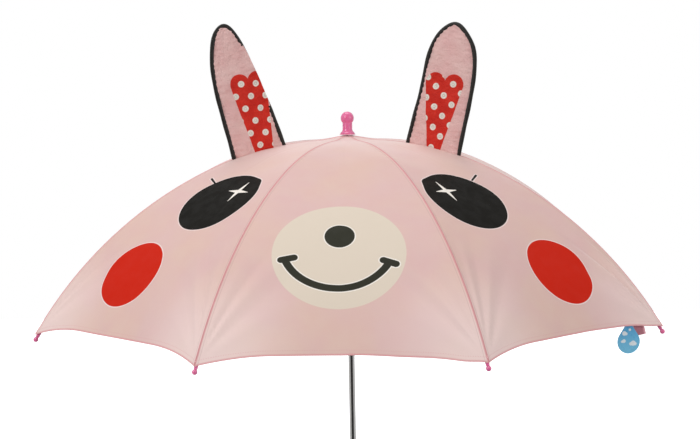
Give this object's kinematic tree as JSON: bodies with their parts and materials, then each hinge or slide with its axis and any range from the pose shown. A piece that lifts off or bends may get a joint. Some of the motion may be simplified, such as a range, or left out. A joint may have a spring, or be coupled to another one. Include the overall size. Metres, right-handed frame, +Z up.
{
  "type": "children's umbrella",
  "caption": "Children's stick umbrella with upright rabbit-style ears, a printed animal face, a sliding runner with folding ribs, and a hooked handle.",
  "frame": {"origin": "the middle of the handle's grip, on the shaft's axis", "axes": "+Z up the shaft, -Y towards the front with the printed face, +X to the right of someone looking at that face"},
  "size_m": [0.7508, 0.7508, 0.7465],
  "materials": {
    "chrome": "polished plated steel tube",
    "rib_steel": "bright plated steel",
    "pink_plastic": "moulded, glossy, slightly translucent",
    "white_plastic": "moulded",
    "canopy_cloth": "printed pongee",
    "ear_cloth": "printed pongee, two layers",
    "black_binding": "folded tape over a wire",
    "strap_cloth": "hook-and-loop on pongee",
    "tag_card": "coated card",
    "tag_nylon": "clear nylon"
  },
  "bodies": {
    "shaft_assembly": {"shaft": "chrome", "stop_pin": "chrome", "top_notch": "white_plastic", "notch_wire": "rib_steel", "crown_washer": "canopy_cloth", "finial": "pink_plastic", "handle": "pink_plastic", "handle_collar": "chrome"},
    "runner": {"runner": "white_plastic", "runner_wire": "rib_steel"},
    "top_catch": {"top_catch": "rib_steel"},
    "bottom_catch": {"bottom_catch": "rib_steel"},
    "swing_tag": {"swing_tag": "tag_card"},
    "rib_1": {"rib_inner_1": "rib_steel", "canopy_panel_1": "canopy_cloth"},
    "rib_end_1": {"rib_outer_1": "rib_steel", "rib_tip_1": "pink_plastic"},
    "stretcher_1": {"stretcher_1": "rib_steel"},
    "rib_2": {"rib_inner_2": "rib_steel", "canopy_panel_2": "canopy_cloth", "ear_right": "ear_cloth", "ear_right_binding": "black_binding"},
    "rib_end_2": {"rib_outer_2": "rib_steel", "rib_tip_2": "pink_plastic", "closure_strap": "strap_cloth", "tag_loop": "tag_nylon"},
    "stretcher_2": {"stretcher_2": "rib_steel"},
    "rib_3": {"rib_inner_3": "rib_steel", "canopy_panel_3": "canopy_cloth"},
    "rib_end_3": {"rib_outer_3": "rib_steel", "rib_tip_3": "pink_plastic"},
    "stretcher_3": {"stretcher_3": "rib_steel"},
    "rib_4": {"rib_inner_4": "rib_steel", "canopy_panel_4": "canopy_cloth"},
    "rib_end_4": {"rib_outer_4": "rib_steel", "rib_tip_4": "pink_plastic"},
    "stretcher_4": {"stretcher_4": "rib_steel"},
    "rib_5": {"rib_inner_5": "rib_steel", "canopy_panel_5": "canopy_cloth"},
    "rib_end_5": {"rib_outer_5": "rib_steel", "rib_tip_5": "pink_plastic"},
    "stretcher_5": {"stretcher_5": "rib_steel"},
    "rib_6": {"rib_inner_6": "rib_steel", "canopy_panel_6": "canopy_cloth"},
    "rib_end_6": {"rib_outer_6": "rib_steel", "rib_tip_6": "pink_plastic"},
    "stretcher_6": {"stretcher_6": "rib_steel"},
    "rib_7": {"rib_inner_7": "rib_steel", "canopy_panel_7": "canopy_cloth", "ear_left": "ear_cloth", "ear_left_binding": "black_binding"},
    "rib_end_7": {"rib_outer_7": "rib_steel", "rib_tip_7": "pink_plastic"},
    "stretcher_7": {"stretcher_7": "rib_steel"},
    "rib_8": {"rib_inner_8": "rib_steel", "canopy_panel_8": "canopy_cloth"},
    "rib_end_8": {"rib_outer_8": "rib_steel", "rib_tip_8": "pink_plastic"},
    "stretcher_8": {"stretcher_8": "rib_steel"}
  },
  "joints": [
    {"name": "canopy_fold", "type": "hinge", "parent": "shaft_assembly", "child": "rib_1", "pos_m": [0.00344, -0.00831, 0.532], "axis": [0.9239, 0.3827, 0], "range_deg": [0, 75.25], "deforming": ["canopy_panel_1", "canopy_panel_2", "canopy_panel_3", "canopy_panel_4", "canopy_panel_5", "canopy_panel_6", "canopy_panel_7", "canopy_panel_8", "top_catch", "bottom_catch"]},
    {"name": "rib_1_flex", "type": "hinge", "parent": "rib_1", "child": "rib_end_1", "pos_m": [0.07961, -0.19221, 0.48921], "axis": [0.9239, 0.3827, 0], "range_deg": [-26.36, 0]},
    {"name": "stretcher_1_pivot", "type": "hinge", "parent": "rib_1", "child": "stretcher_1", "pos_m": [0.07662, -0.18498, 0.48697], "axis": [0.9239, 0.3827, 0], "range_deg": [-150.51, 0]},
    {"name": "rib_2_fold", "type": "hinge", "parent": "shaft_assembly", "child": "rib_2", "pos_m": [0.00831, -0.00344, 0.532], "axis": [0.3827, 0.9239, 0], "range_deg": [0, 75.25]},
    {"name": "rib_2_flex", "type": "hinge", "parent": "rib_2", "child": "rib_end_2", "pos_m": [0.19221, -0.07961, 0.48921], "axis": [0.3827, 0.9239, 0], "range_deg": [-26.36, 0]},
    {"name": "stretcher_2_pivot", "type": "hinge", "parent": "rib_2", "child": "stretcher_2", "pos_m": [0.18498, -0.07662, 0.48697], "axis": [0.3827, 0.9239, 0], "range_deg": [-150.51, 0]},
    {"name": "rib_3_fold", "type": "hinge", "parent": "shaft_assembly", "child": "rib_3", "pos_m": [0.00831, 0.00344, 0.532], "axis": [-0.3827, 0.9239, 0], "range_deg": [0, 75.25]},
    {"name": "rib_3_flex", "type": "hinge", "parent": "rib_3", "child": "rib_end_3", "pos_m": [0.19221, 0.07961, 0.48921], "axis": [-0.3827, 0.9239, 0], "range_deg": [-26.36, 0]},
    {"name": "stretcher_3_pivot", "type": "hinge", "parent": "rib_3", "child": "stretcher_3", "pos_m": [0.18498, 0.07662, 0.48697], "axis": [-0.3827, 0.9239, 0], "range_deg": [-150.51, 0]},
    {"name": "rib_4_fold", "type": "hinge", "parent": "shaft_assembly", "child": "rib_4", "pos_m": [0.00344, 0.00831, 0.532], "axis": [-0.9239, 0.3827, 0], "range_deg": [0, 75.25]},
    {"name": "rib_4_flex", "type": "hinge", "parent": "rib_4", "child": "rib_end_4", "pos_m": [0.07961, 0.19221, 0.48921], "axis": [-0.9239, 0.3827, 0], "range_deg": [-26.36, 0]},
    {"name": "stretcher_4_pivot", "type": "hinge", "parent": "rib_4", "child": "stretcher_4", "pos_m": [0.07662, 0.18498, 0.48697], "axis": [-0.9239, 0.3827, 0], "range_deg": [-150.51, 0]},
    {"name": "rib_5_fold", "type": "hinge", "parent": "shaft_assembly", "child": "rib_5", "pos_m": [-0.00344, 0.00831, 0.532], "axis": [-0.9239, -0.3827, 0], "range_deg": [0, 75.25]},
    {"name": "rib_5_flex", "type": "hinge", "parent": "rib_5", "child": "rib_end_5", "pos_m": [-0.07961, 0.19221, 0.48921], "axis": [-0.9239, -0.3827, 0], "range_deg": [-26.36, 0]},
    {"name": "stretcher_5_pivot", "type": "hinge", "parent": "rib_5", "child": "stretcher_5", "pos_m": [-0.07662, 0.18498, 0.48697], "axis": [-0.9239, -0.3827, 0], "range_deg": [-150.51, 0]},
    {"name": "rib_6_fold", "type": "hinge", "parent": "shaft_assembly", "child": "rib_6", "pos_m": [-0.00831, 0.00344, 0.532], "axis": [-0.3827, -0.9239, 0], "range_deg": [0, 75.25]},
    {"name": "rib_6_flex", "type": "hinge", "parent": "rib_6", "child": "rib_end_6", "pos_m": [-0.19221, 0.07961, 0.48921], "axis": [-0.3827, -0.9239, 0], "range_deg": [-26.36, 0]},
    {"name": "stretcher_6_pivot", "type": "hinge", "parent": "rib_6", "child": "stretcher_6", "pos_m": [-0.18498, 0.07662, 0.48697], "axis": [-0.3827, -0.9239, 0], "range_deg": [-150.51, 0]},
    {"name": "rib_7_fold", "type": "hinge", "parent": "shaft_assembly", "child": "rib_7", "pos_m": [-0.00831, -0.00344, 0.532], "axis": [0.3827, -0.9239, 0], "range_deg": [0, 75.25]},
    {"name": "rib_7_flex", "type": "hinge", "parent": "rib_7", "child": "rib_end_7", "pos_m": [-0.19221, -0.07961, 0.48921], "axis": [0.3827, -0.9239, 0], "range_deg": [-26.36, 0]},
    {"name": "stretcher_7_pivot", "type": "hinge", "parent": "rib_7", "child": "stretcher_7", "pos_m": [-0.18498, -0.07662, 0.48697], "axis": [0.3827, -0.9239, 0], "range_deg": [-150.51, 0]},
    {"name": "rib_8_fold", "type": "hinge", "parent": "shaft_assembly", "child": "rib_8", "pos_m": [-0.00344, -0.00831, 0.532], "axis": [0.9239, -0.3827, 0], "range_deg": [0, 75.25]},
    {"name": "rib_8_flex", "type": "hinge", "parent": "rib_8", "child": "rib_end_8", "pos_m": [-0.07961, -0.19221, 0.48921], "axis": [0.9239, -0.3827, 0], "range_deg": [-26.36, 0]},
    {"name": "stretcher_8_pivot", "type": "hinge", "parent": "rib_8", "child": "stretcher_8", "pos_m": [-0.07662, -0.18498, 0.48697], "axis": [0.9239, -0.3827, 0], "range_deg": [-150.51, 0]},
    {"name": "runner_pivot", "type": "hinge", "parent": "stretcher_1", "child": "runner", "pos_m": [0.00344, -0.00831, 0.44194], "axis": [0.9239, 0.3827, 0], "range_deg": [0, 75.26]},
    {"name": "top_catch_press", "type": "slide", "parent": "shaft_assembly", "child": "top_catch", "axis": [0, 1, 0], "range_m": [0, 0.0027], "stiffness_N_per_m": 400},
    {"name": "bottom_catch_press", "type": "slide", "parent": "shaft_assembly", "child": "bottom_catch", "axis": [0, 1, 0], "range_m": [0, 0.0027], "stiffness_N_per_m": 400},
    {"name": "tag_swing", "type": "hinge", "parent": "rib_end_2", "child": "swing_tag", "pos_m": [0.32815, -0.18461, 0.32364], "axis": [0.2588, -0.9659, 0], "range_deg": [-25, 25]}
  ],
  "couplings": [
    {"joint": "rib_1_flex", "follows": "canopy_fold", "ratio": -0.35016},
    {"joint": "stretcher_1_pivot", "follows": "canopy_fold", "ratio": -2},
    {"joint": "rib_2_fold", "follows": "canopy_fold", "ratio": 1},
    {"joint": "rib_2_flex", "follows": "canopy_fold", "ratio": -0.35016},
    {"joint": "stretcher_2_pivot", "follows": "canopy_fold", "ratio": -2},
    {"joint": "rib_3_fold", "follows": "canopy_fold", "ratio": 1},
    {"joint": "rib_3_flex", "follows": "canopy_fold", "ratio": -0.35016},
    {"joint": "stretcher_3_pivot", "follows": "canopy_fold", "ratio": -2},
    {"joint": "rib_4_fold", "follows": "canopy_fold", "ratio": 1},
    {"joint": "rib_4_flex", "follows": "canopy_fold", "ratio": -0.35016},
    {"joint": "stretcher_4_pivot", "follows": "canopy_fold", "ratio": -2},
    {"joint": "rib_5_fold", "follows": "canopy_fold", "ratio": 1},
    {"joint": "rib_5_flex", "follows": "canopy_fold", "ratio": -0.35016},
    {"joint": "stretcher_5_pivot", "follows": "canopy_fold", "ratio": -2},
    {"joint": "rib_6_fold", "follows": "canopy_fold", "ratio": 1},
    {"joint": "rib_6_flex", "follows": "canopy_fold", "ratio": -0.35016},
    {"joint": "stretcher_6_pivot", "follows": "canopy_fold", "ratio": -2},
    {"joint": "rib_7_fold", "follows": "canopy_fold", "ratio": 1},
    {"joint": "rib_7_flex", "follows": "canopy_fold", "ratio": -0.35016},
    {"joint": "stretcher_7_pivot", "follows": "canopy_fold", "ratio": -2},
    {"joint": "rib_8_fold", "follows": "canopy_fold", "ratio": 1},
    {"joint": "rib_8_flex", "follows": "canopy_fold", "ratio": -0.35016},
    {"joint": "stretcher_8_pivot", "follows": "canopy_fold", "ratio": -2},
    {"joint": "runner_pivot", "follows": "canopy_fold", "ratio": 1}
  ]
}
